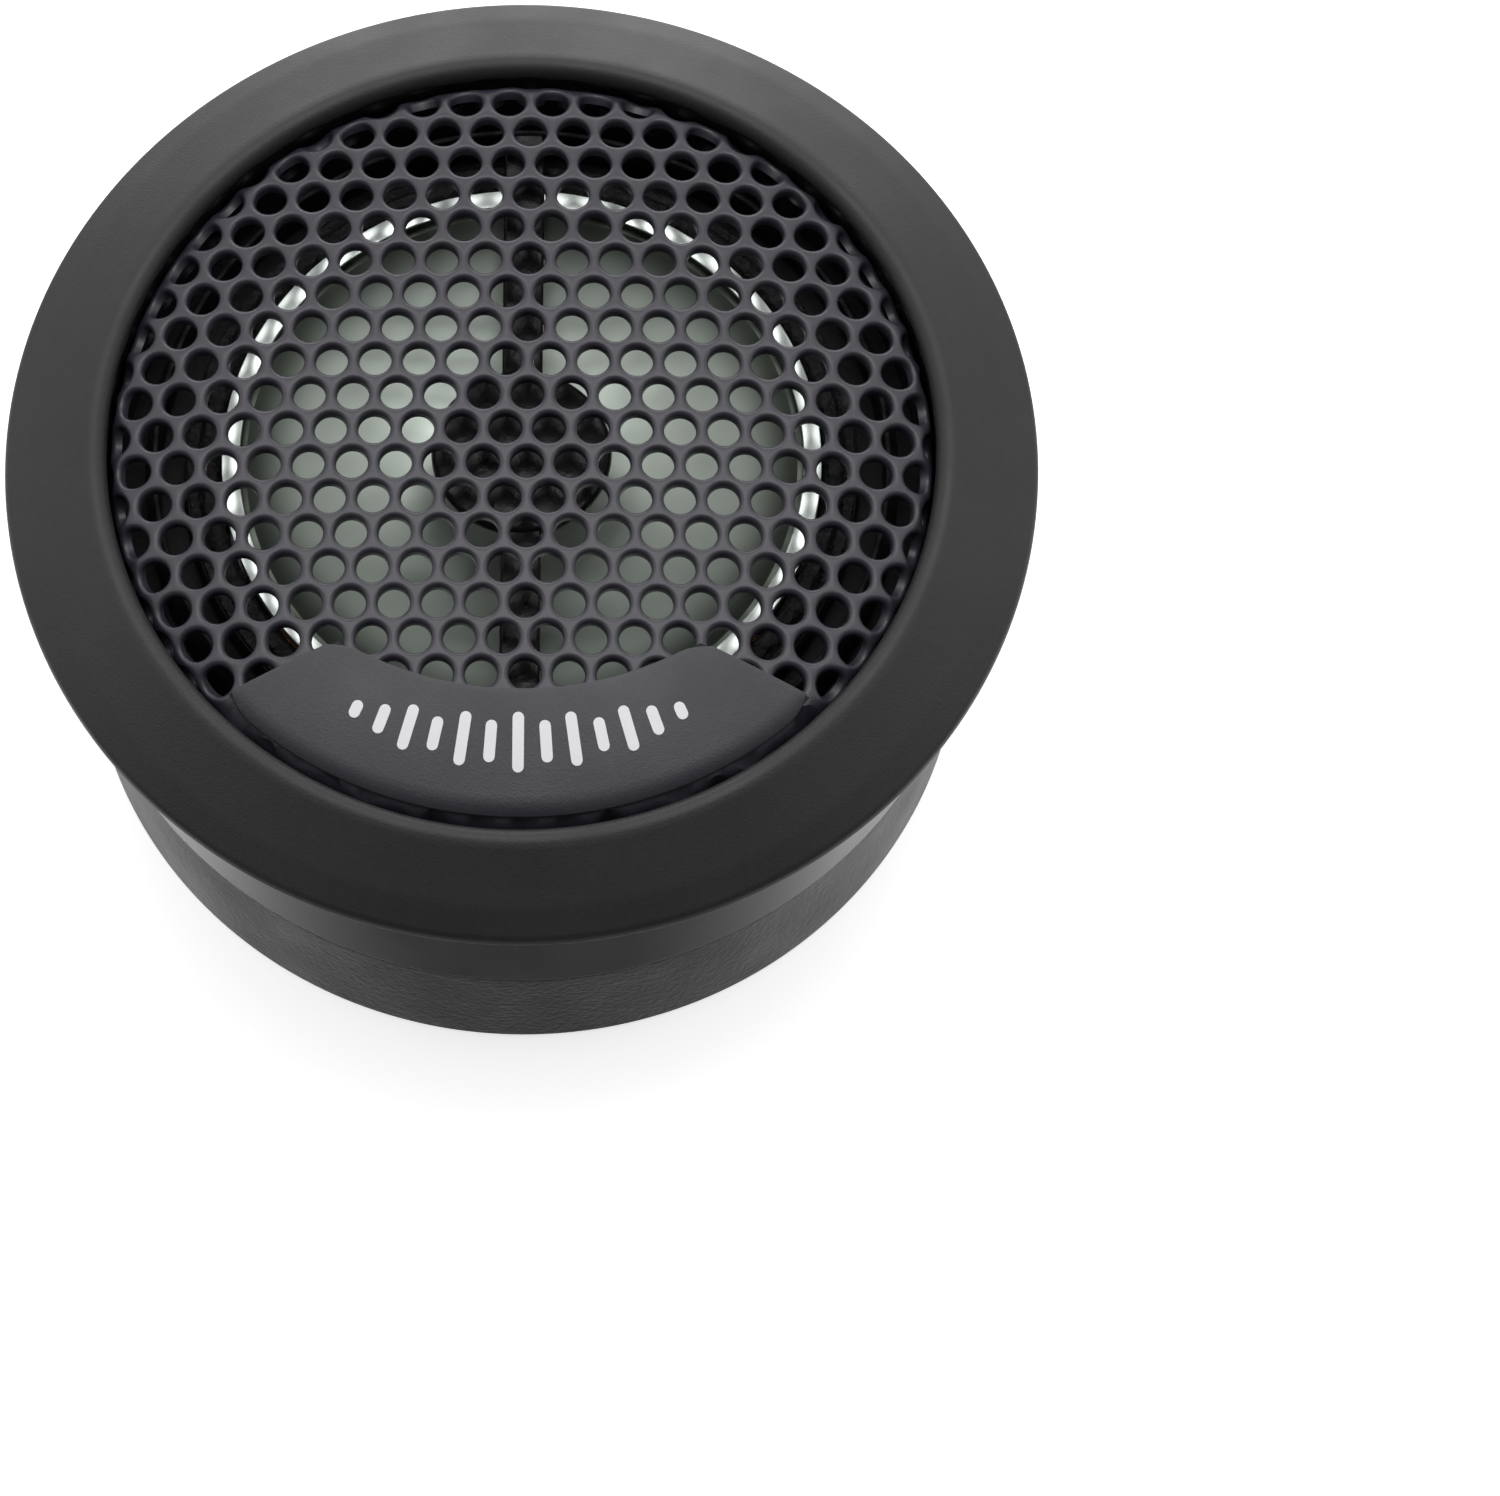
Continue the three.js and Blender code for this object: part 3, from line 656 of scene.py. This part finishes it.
def badge_mark():
    """A plain row of level bars, printed on the badge. Each bar is a strip that follows its crown."""
    heights = (0.9, 1.5, 2.3, 1.7, 2.7, 2.1, 3.0, 2.1, 2.7, 1.7, 2.3, 1.5, 0.9)
    width, step, arc_r = 0.56, 1.36, 18.9
    cuts, lift, sink = 16, 0.015, 0.02
    vertices, faces = [], []
    for k, height in enumerate(heights):
        lean = (k - (len(heights) - 1) / 2) * step / arc_r
        straight = (height - width) / 2
        start = len(vertices)
        for layer in (lift, -sink):
            for c in range(cuts + 1):
                along = -height / 2 * math.cos(math.pi * c / cuts)
                into_cap = max(0, abs(along) - straight)
                half = math.sqrt(max(1e-6, (width / 2) ** 2 - into_cap ** 2))
                for across in (-half, 0, half):
                    arm = Matrix.Rotation(lean, 2) @ Vector((across, along - arc_r))
                    x, y = arm.x, arm.y + BADGE_INNER_ARC_Y
                    vertices.append((x, y, badge_top(math.hypot(x, y)) + layer))
        count = 3 * (cuts + 1)
        for c in range(cuts):
            for across in (0, 1):
                a = start + 3 * c + across
                faces.append([a, a + 1, a + 4, a + 3])
                faces.append([v + count for v in (a, a + 3, a + 4, a + 1)])
        edge = [start + 3 * c for c in range(cuts + 1)] + [start + 3 * cuts + 1]
        edge += [start + 3 * c + 2 for c in range(cuts, -1, -1)] + [start + 1]
        faces.extend(strips([edge, [v + count for v in edge]]))
    return new_object("badge_mark", vertices, faces)


# ---------- housing and cup ----------

def housing_shell():
    outline = rounded([
        (SLEEVE_INNER_R, SEAM_Z, 0.12),
        (SLEEVE_LOW_R, SEAM_Z, 0.16),
        (SLEEVE_TOP_R, UNDER_Z, 0.15),
        (FLANGE_R, UNDER_Z, 0.36),
        (FLANGE_R, FLANGE_EDGE_Z, 0.45),
        (*FLANGE_SHOULDER, 7.0),
        (*FLANGE_CREST, 2.5),
        (LIP_R, LIP_Z, 0.7),
        (LIP_R, LEDGE_Z, 0),
        (SLEEVE_INNER_R, LEDGE_Z, 0),
    ], 8)
    return turned("housing_shell", outline, FINE_SIDES)


def paint_by_place(piece, materials, choose):
    """Gives each face the material whose number choose() returns for the face's centre, in millimetres."""
    for material in materials:
        piece.data.materials.append(material)
    for polygon in piece.data.polygons:
        centre = polygon.center / MM
        polygon.material_index = choose(math.hypot(centre.x, centre.y), centre.z)
    return piece


def cup_shell():
    hole_r, recess_r, recess_z = 4.5, 5.8, 0.7
    outline = rounded([
        (hole_r, recess_z, 0),
        (recess_r, recess_z, 0),
        (recess_r, 0, 0.12),
        (CUP_BASE_R, 0, 0.7),
        (CUP_TOP_R, SEAM_Z - SEAM_GAP, 0.18),
        (SPIGOT_R, SEAM_Z - SEAM_GAP, 0),
        (SPIGOT_R, BEAD_Z - 0.3, 0),
        (SPIGOT_R + BEAD_OUT, BEAD_Z - 0.1, 0.05),
        (SPIGOT_R + BEAD_OUT, BEAD_Z + 0.1, 0.05),
        (SPIGOT_R, BEAD_Z + 0.3, 0),
        (SPIGOT_R, SPIGOT_TOP_Z, 0.2),
        (CUP_INNER_R, SPIGOT_TOP_Z, 0.15),
        (CUP_INNER_R, CUP_FLOOR, 0.4),
        (hole_r, CUP_FLOOR, 0.1),
    ], 6)
    shell = turned("cup_shell", outline, FINE_SIDES)
    apply_modifiers(shell)
    bore_r, head_r, sink_z = 1.7, 3.3, 0.8
    screw_outline = [(0, -1), (bore_r, -1), (bore_r, sink_z), (head_r, CUP_FLOOR), (head_r, 3), (0, 3)]
    cutters = []
    for side in (1, -1):
        screw = turned("screw_hole", screw_outline, 48)
        apply_modifiers(screw)
        screw.data.transform(Matrix.Translation((side * SCREW_X * MM, 0, 0)))
        cutters.append(screw)
    for k in range(4):
        cutters.append(block("finger_slot", (1.6, 2, 3), (0, 20.8, 11), 45 + 90 * k))
    return combine(shell, cutters, "DIFFERENCE")


def wire_grommet():
    bore_r, neck_r, collar_r = 3.25, 4.4, 5.6
    outline = rounded([
        (bore_r, 0.15, 0.15), (collar_r, 0.15, 0.15), (collar_r, 0.6, 0.1), (neck_r, 0.6, 0),
        (neck_r, 2.1, 0), (collar_r, 2.1, 0.1), (collar_r, 2.6, 0.2), (bore_r, 2.6, 0.25),
    ], 4)
    return turned("wire_bush", outline, 96)


# ---------- driver ----------

def frame_moulding():
    """A sleeve round the pot, the surround's seat, a wall under the grille and the skirt's groove."""
    sleeve_in, sleeve_out, sleeve_low = YOKE_R + 0.15, YOKE_R + 1.15, 12
    lip_in, lip_low, lip_top = 14.7, 17.3, 18.9
    groove_out, groove_low = SKIRT_R + 0.15, SKIRT_LOW_Z - 0.1
    wall_in, wall_crest, wall_out = 17.95, 18.2, 18.6
    outline = rounded([
        (lip_in, lip_low, 0), (sleeve_in, lip_low, 0), (sleeve_in, sleeve_low, 0.1),
        (sleeve_out, sleeve_low, 0.2), (sleeve_out, FRAME_SHELF_Z, 0.1), (FRAME_R, FRAME_SHELF_Z, 0.1),
        (FRAME_R, FRAME_TOP_Z, 0.1), (groove_out, FRAME_TOP_Z, 0.05), (groove_out, groove_low, 0),
        (wall_out, groove_low, 0), (wall_out, FRAME_WALL_TOP_Z - 1.1, 0.3),
        (wall_crest, FRAME_WALL_TOP_Z, 0.12), (wall_in, FRAME_WALL_TOP_Z, 0.1),
        (wall_in, FRAME_TOP_Z, 0.2), (FRAME_SEAT_R, FRAME_TOP_Z, 0.2), (FRAME_SEAT_R, FRAME_SEAT_Z, 0.1),
        (FRAME_BORE_R, FRAME_SEAT_Z, 0.1), (FRAME_BORE_R, lip_top, 0), (lip_in, lip_top, 0.1),
    ], 3)
    body = turned("frame_moulding", outline)
    apply_modifiers(body)
    cutters = []
    for side in (1, -1):
        cutters.append(block("lead_notch", (1.2, 2, 2), (0, 16, 20), side * LEAD_ANGLE))
        cutters.append(block("lead_hole", (1.2, 1.2, 3), (0, 17.4, 17.5), side * LEAD_ANGLE))
    return combine(body, cutters, "DIFFERENCE")


def retainer():
    inner_r, bottom_z = 18.3, 14.8
    body = ring("retainer", inner_r, FRAME_R + 0.05, bottom_z, FRAME_SHELF_Z, 0.15)
    apply_modifiers(body)
    cutters = [block("tool_slot", (2.4, 1.6, 1.8), (0, 20.6, 14.9), 90 * k) for k in range(4)]
    return combine(body, cutters, "DIFFERENCE")


def surround_roll():
    """A half roll from the dome's rim to a flat foot on the frame's seat."""
    rim_side, outer_r, low_z = RIM_R + 0.08, FRAME_SEAT_R - 0.1, FRAME_SEAT_Z + 0.05
    foot_top_z = low_z + 0.3
    outline = rounded([
        (rim_side, low_z, 0.05),
        (rim_side + 0.3, low_z + 0.15, 0.1),
        (rim_side + 0.5, low_z + 0.42, 0.08),
        (rim_side + 0.75, low_z + 0.35, 0.08),
        (rim_side + 0.92, low_z, 0.05),
        (outer_r, low_z, 0.05),
        (outer_r, foot_top_z, 0.1),
        (rim_side + 1.15, foot_top_z, 0.12),
        (rim_side + 0.85, low_z + 0.73, 0.22),
        (rim_side + 0.3, low_z + 0.78, 0.22),
        (rim_side, low_z + 0.45, 0.1),
    ], 4)
    return turned("surround_roll", outline, FINE_SIDES)


def dome_z(r):
    """The height of the bowl's upper face."""
    return DOME_CENTRE_Z + (DOME_EDGE_Z - DOME_CENTRE_Z) * (r / DOME_R) ** 2


def dome_shell():
    """The bowl, with a raised rim whose top is a broad, slightly crowned band."""
    steps, sheet, crowning = 24, 0.3, 0.02
    rim_in = RIM_R - RIM_WIDTH
    radii = [DOME_R * k / steps for k in range(steps + 1)]
    under = [(r, dome_z(r) - sheet) for r in radii]
    over = [(r, dome_z(r)) for r in reversed(radii)]
    rim = rounded([
        (DOME_R + 0.1, DOME_EDGE_Z - sheet, 0),
        (RIM_R - 0.1, DOME_EDGE_Z - 0.25, 0.05),
        (RIM_R, DOME_EDGE_Z, 0.05),
        (RIM_R, RIM_TOP_Z - crowning, 0.06),
        (RIM_R - RIM_WIDTH / 2, RIM_TOP_Z, 0),
        (rim_in, RIM_TOP_Z - crowning, 0.08),
        (rim_in - 0.03, DOME_EDGE_Z - 0.02, 0.03),
    ], 5)
    return turned("dome_shell", under + rim[:-1] + over, FINE_SIDES)


def phase_bar():
    """A bar across the dome, with a hub that narrows downwards and a foot at each end."""
    bar_low, bar_top, foot_r, foot_depth, width = 21.9, 22.4, 17.1, 0.8, 2.0
    hub_low, tip_r = 20.4, 1.4
    hub_outline = rounded([
        (0, hub_low, 0),
        (tip_r, hub_low, 0.3),
        (HUB_R - 0.4, bar_low - 0.1, 0.3),
        (HUB_R, bar_low + 0.2, 0.15),
        (HUB_R, HUB_TOP_Z - 0.2, 0.35),
        (0, HUB_TOP_Z, 0),
    ], 6)
    hub = turned("phase_bar", hub_outline, 128)
    apply_modifiers(hub)
    length = 2 * foot_r + foot_depth
    bar = bevel(block("bar", (width, length, bar_top - bar_low), (0, 0, (bar_low + bar_top) / 2)), 0.16)
    apply_modifiers(bar)
    parts = [bar]
    for side in (1, -1):
        foot_low = FRAME_TOP_Z + 0.02
        foot_top = bar_top - 0.1
        centre = (0, side * foot_r, (foot_low + foot_top) / 2)
        parts.append(block("foot", (width - 0.2, foot_depth - 0.05, foot_top - foot_low), centre))
    return combine(hub, parts, "UNION")


# ---------- motor and terminals ----------

def motor_pieces():
    """The outlines of the steel pot and of the dished pole plate, and the discs between and on them."""
    floor_z, magnet_z, plate_z = low("magnet"), high("magnet"), high("top_plate")
    pot_inner_r = 14.25
    pot = rounded([
        (0, YOKE_LOW_Z, 0), (YOKE_R, YOKE_LOW_Z, 0.4), (YOKE_R, YOKE_TOP_Z, 0.15),
        (pot_inner_r, YOKE_TOP_Z, 0.15), (pot_inner_r, floor_z, 0.2), (0, floor_z, 0),
    ], 5)
    plate_r, felt_z = reach("top_plate"), low("felt_pad")
    dish_top_r, dish_low_r = 10.0, 9.2
    plate = rounded([
        (0, magnet_z, 0), (plate_r, magnet_z, 0.15), (plate_r, plate_z, 0.15),
        (dish_top_r, plate_z, 0.1), (dish_low_r, felt_z, 0.1), (0, felt_z, 0),
    ], 4)
    return {
        "yoke": turned("yoke_pot", pot),
        "magnet": disc("magnet_disc", reach("magnet"), floor_z, magnet_z, 0.2),
        "top_plate": turned("pole_plate", plate),
        "felt_pad": disc("damping_felt", reach("felt_pad"), felt_z, high("felt_pad"), 0.15, 96),
    }


def lead_wire(side):
    """The braided lead's route from the coil former over the frame, down past the motor and to its tab."""
    along = [(13.85, 19.4), (15.4, 19.5), (16.9, 19.3), (17.5, 18.2), (17.55, 13), (17.5, 9.4), (16.6, 8.2)]
    angle = side * math.radians(LEAD_ANGLE)
    points = [(r * math.sin(angle), r * math.cos(angle), z) for r, z in along]
    tab_low, tab_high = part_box("terminal_positive")
    tab_x, wire_r = 4.4, 0.27
    points.append((side * tab_x, tab_high.y / MM + 0.3, (tab_low.z + tab_high.z) / 2 / MM))
    name = "lead_wire_positive" if side > 0 else "lead_wire_negative"
    curve = bpy.data.curves.new(name, "CURVE")
    curve.dimensions = "3D"
    curve.bevel_depth = wire_r * MM
    curve.bevel_resolution = 4
    curve.use_fill_caps = True
    spline = curve.splines.new("BEZIER")
    spline.bezier_points.add(len(points) - 1)
    for knot, place in zip(spline.bezier_points, points):
        knot.co = Vector(place) * MM
        knot.handle_left_type = knot.handle_right_type = "AUTO"
    wire = bpy.data.objects.new(name, curve)
    bpy.context.scene.collection.objects.link(wire)
    return wire


# ---------- build ----------

LOOKS = {
    "flange": eroded_plastic("flange_plastic", (0.0155, 0.0152, 0.0162), 0.5, 0.09, 0.008),
    "sleeve": gloss_plastic("sleeve_gloss", (0.0135, 0.0115, 0.0118), 0.17),
    "cup": eroded_plastic("cup_plastic", (0.014, 0.0138, 0.0145), 0.45, 0.22, 0.03),
    "grille": painted_steel("grille_paint", (0.026, 0.0235, 0.034), 0.42, 1.55),
    "badge": eroded_plastic("badge_plastic", (0.026, 0.025, 0.033), 0.5, 0.09, 0.009, 1.6),
    "print": satin_plastic("badge_ink", (0.9, 0.9, 0.92), 0.5),
    "frame": eroded_plastic("frame_plastic", (0.011, 0.011, 0.013), 0.6, 0.16, 0.03, 1.35),
    "surround": coated_cloth("surround_cloth", (0.01, 0.01, 0.0115)),
    # The dome's base colour darkens from 10.6 mm to 13.5 mm: painted shade and dark reflection under the
    # raised rim.
    "dome": metal_with_painted_rim_shade("dome_satin", (0.62, 0.69, 0.62), (0.1, 0.115, 0.095), 0.4, 10.6, 13.5),
    "rim": metal("rim_bright", (0.84, 0.9, 0.86), 0.35, 1.2, 0.001),
    "plug": wrinkled_plastic("plug_plastic", (0.005, 0.005, 0.006), 0.3, 1.3),
    "former": metal("former_foil", (0.75, 0.76, 0.78), 0.3),
    "coil": copper_turns("coil_wire", (0.75, 0.36, 0.18)),
    "steel": metal("motor_steel", (0.6, 0.61, 0.62), 0.38, 0.3, 0.004),
    "magnet": metal("magnet_nickel", (0.68, 0.67, 0.64), 0.22),
    "felt": soft_foam("felt_fibre", (0.12, 0.12, 0.125), 0.15),
    "foam": soft_foam("foam_black", (0.02, 0.02, 0.021)),
    "board": satin_plastic("board_resin", (0.28, 0.15, 0.06), 0.5),
    "brass": metal("terminal_brass", (0.78, 0.62, 0.33), 0.3),
    "braid": metal("lead_braid", (0.72, 0.45, 0.3), 0.45, 0.12, 0.05),
    "rubber": satin_plastic("grommet_rubber", (0.014, 0.014, 0.015), 0.75),
}


def fit(piece, body, look=None, node=None):
    """Puts a finished piece on its body, in its finish, in place of its CAD node."""
    if look:
        piece.data.materials.append(LOOKS[look])
    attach(piece, body)
    if node:
        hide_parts(node)


def keep(node, look):
    """A CAD node that stays as it is gets its finish."""
    mesh_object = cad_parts[node]
    for slot in mesh_object.material_slots:
        slot.material = LOOKS[look]


housing = paint_by_place(
    housing_shell(),
    [LOOKS["flange"], LOOKS["sleeve"]],
    lambda r, z: 0 if z > UNDER_Z - 0.05 and r > LIP_R + 0.02 else 1,
)
fit(housing, "head", node="front_housing")
fit(cup_shell(), "cup", "cup", "rear_cup")
fit(wire_grommet(), "cup", "rubber", "wire_grommet")
fit(grille_sheet(), "head", "grille", "grille")
fit(badge_plate(), "head", "badge", "badge")
fit(badge_mark(), "head", "print")
fit(frame_moulding(), "head", "frame", "driver_frame")
fit(retainer(), "head", "frame", "retaining_ring")
gasket = ring("foam_ring", GASKET_INNER_R, FRAME_R, FRAME_TOP_Z, LEDGE_Z, 0.05)
fit(gasket, "head", "foam", "frame_gasket")
fit(surround_roll(), "head", "surround", "surround")
fit(phase_bar(), "head", "plug", "phase_plug")
dome = paint_by_place(
    dome_shell(),
    [LOOKS["dome"], LOOKS["rim"]],
    lambda r, z: 1 if r > RIM_R - RIM_WIDTH else 0,
)
fit(dome, "diaphragm", node="dome")
former_low, former_high = low("voice_coil_former"), high("voice_coil_former")
former = ring("former_tube", FORMER_R - 0.2, FORMER_R, former_low, former_high, 0.03)
fit(former, "diaphragm", "former", "voice_coil_former")
winding = ring("coil_turns", FORMER_R + 0.05, COIL_R, low("voice_coil"), high("voice_coil"), 0.08)
fit(winding, "diaphragm", "coil", "voice_coil")
MOTOR_FINISHES = {
    "yoke": ("motor_steel", "steel"),
    "magnet": ("magnet_plating", "magnet"),
    "top_plate": ("motor_steel", "steel"),
    "felt_pad": ("felt", "felt"),
}
for node, made in motor_pieces().items():
    slot, look = MOTOR_FINISHES[node]
    fit(made, "head", look, node)
fit(lead_wire(1), "head", "braid", "lead_positive")
fit(lead_wire(-1), "head", "braid", "lead_negative")
keep("badge_pad", "foam")
keep("terminal_board", "board")
for pole in ("positive", "negative"):
    keep("terminal_" + pole, "brass")
    keep("terminal_rivet_" + pole, "brass")


# ---------- studio ----------

def floor():
    """A light table. It keeps out of the reflections, so that the gloss sleeve stays dark."""
    plane = bpy.data.meshes.new("floor")
    half = 3.0
    corners = [(-half, -half, 0), (half, -half, 0), (half, half, 0), (-half, half, 0)]
    plane.from_pydata(corners, [], [[0, 1, 2, 3]])
    made = bpy.data.objects.new("floor", plane)
    bpy.context.scene.collection.objects.link(made)
    paper = Material("floor_paper", (0.93, 0.93, 0.93), 0.7)
    paper.set("Emission Color", (1, 1, 1, 1))
    paper.set("Emission Strength", 0.72)
    paper.bump(paper.noise(8.0, 2), 0.01, 0.1)
    made.data.materials.append(paper.material)
    made.visible_glossy = False


def softbox(name, place, size, power, color=(1, 1, 1)):
    """A rectangular lamp that faces the middle of the tweeter."""
    middle = Vector((0, 0, 0.015))
    light = bpy.data.lights.new(name, "AREA")
    light.shape = "RECTANGLE"
    light.size, light.size_y = size
    light.energy = power
    light.color = color
    lamp = bpy.data.objects.new(name, light)
    bpy.context.scene.collection.objects.link(lamp)
    lamp.location = place
    lamp.rotation_mode = "QUATERNION"
    lamp.rotation_quaternion = (middle - Vector(place)).to_track_quat("-Z", "Y")


def surroundings():
    """A studio that is lit from the back: dark on the -Y side, dim overhead, bright on the +Y side."""
    world = bpy.data.worlds.new("studio")
    bpy.context.scene.world = world
    world.use_nodes = True
    nodes, links = world.node_tree.nodes, world.node_tree.links
    place = nodes.new("ShaderNodeTexCoord")
    split = nodes.new("ShaderNodeSeparateXYZ")
    share = nodes.new("ShaderNodeMapRange")
    ramp = nodes.new("ShaderNodeValToRGB")
    links.new(place.outputs["Generated"], split.inputs["Vector"])
    links.new(split.outputs["Y"], share.inputs["Value"])
    links.new(share.outputs["Result"], ramp.inputs["Fac"])
    share.inputs["From Min"].default_value = -1
    share.inputs["From Max"].default_value = 1
    brightness = (
        (0, 0.015), (0.35, 0.05), (0.44, 0.18), (0.53, 0.35), (0.7, 0.36),
        (0.78, 0.28), (0.86, 0.15), (0.9, 0.17), (0.966, 1.0),
    )
    stops = ramp.color_ramp.elements
    for k, (position, level) in enumerate(brightness):
        stop = stops[k] if k < len(stops) else stops.new(position)
        stop.position = position
        stop.color = (level, level, level, 1)
    background = nodes["Background"]
    background.inputs["Strength"].default_value = 3.2
    links.new(ramp.outputs["Color"], background.inputs["Color"])


def main_camera():
    """The camera looks down on the front, and the tweeter sits up and to the left in its frame."""
    azimuth, elevation, roll = math.radians(1.64), math.radians(65.0), math.radians(-1.205)
    distance = 0.600
    aim = Vector((0, 0, 0.0205))
    # How far the tweeter sits from the middle of the view, as tangents.
    left, up = 0.01878, 0.02304
    back = Vector((
        math.sin(azimuth) * math.cos(elevation),
        -math.cos(azimuth) * math.cos(elevation),
        math.sin(elevation),
    ))
    right = Vector((0, 0, 1)).cross(back).normalized()
    over = back.cross(right)
    towards = Vector((-left, up, -1)).normalized()
    swing = towards.rotation_difference(Vector((0, 0, -1))).to_matrix()
    axes = Matrix((right, over, back)).transposed() @ Matrix.Rotation(roll, 3, "Z") @ swing
    data = bpy.data.cameras.new("main_camera")
    data.lens = 291.5
    data.sensor_width = 36
    data.clip_start, data.clip_end = 0.01, 20
    camera = bpy.data.objects.new("main_camera", data)
    bpy.context.scene.collection.objects.link(camera)
    camera.rotation_mode = "QUATERNION"
    camera.location = aim + back * distance
    camera.rotation_quaternion = axes.to_quaternion()
    bpy.context.scene.camera = camera


floor()
surroundings()
softbox("overhead_softbox", (0, 0.31, 1.1), (0.8, 0.58), 2.8)
softbox("strip_softbox", (0.2, 0.06, 1.2), (0.1, 0.3), 0.4, (0.9, 0.95, 1))
bpy.context.scene.view_settings.view_transform = "Standard"
main_camera()
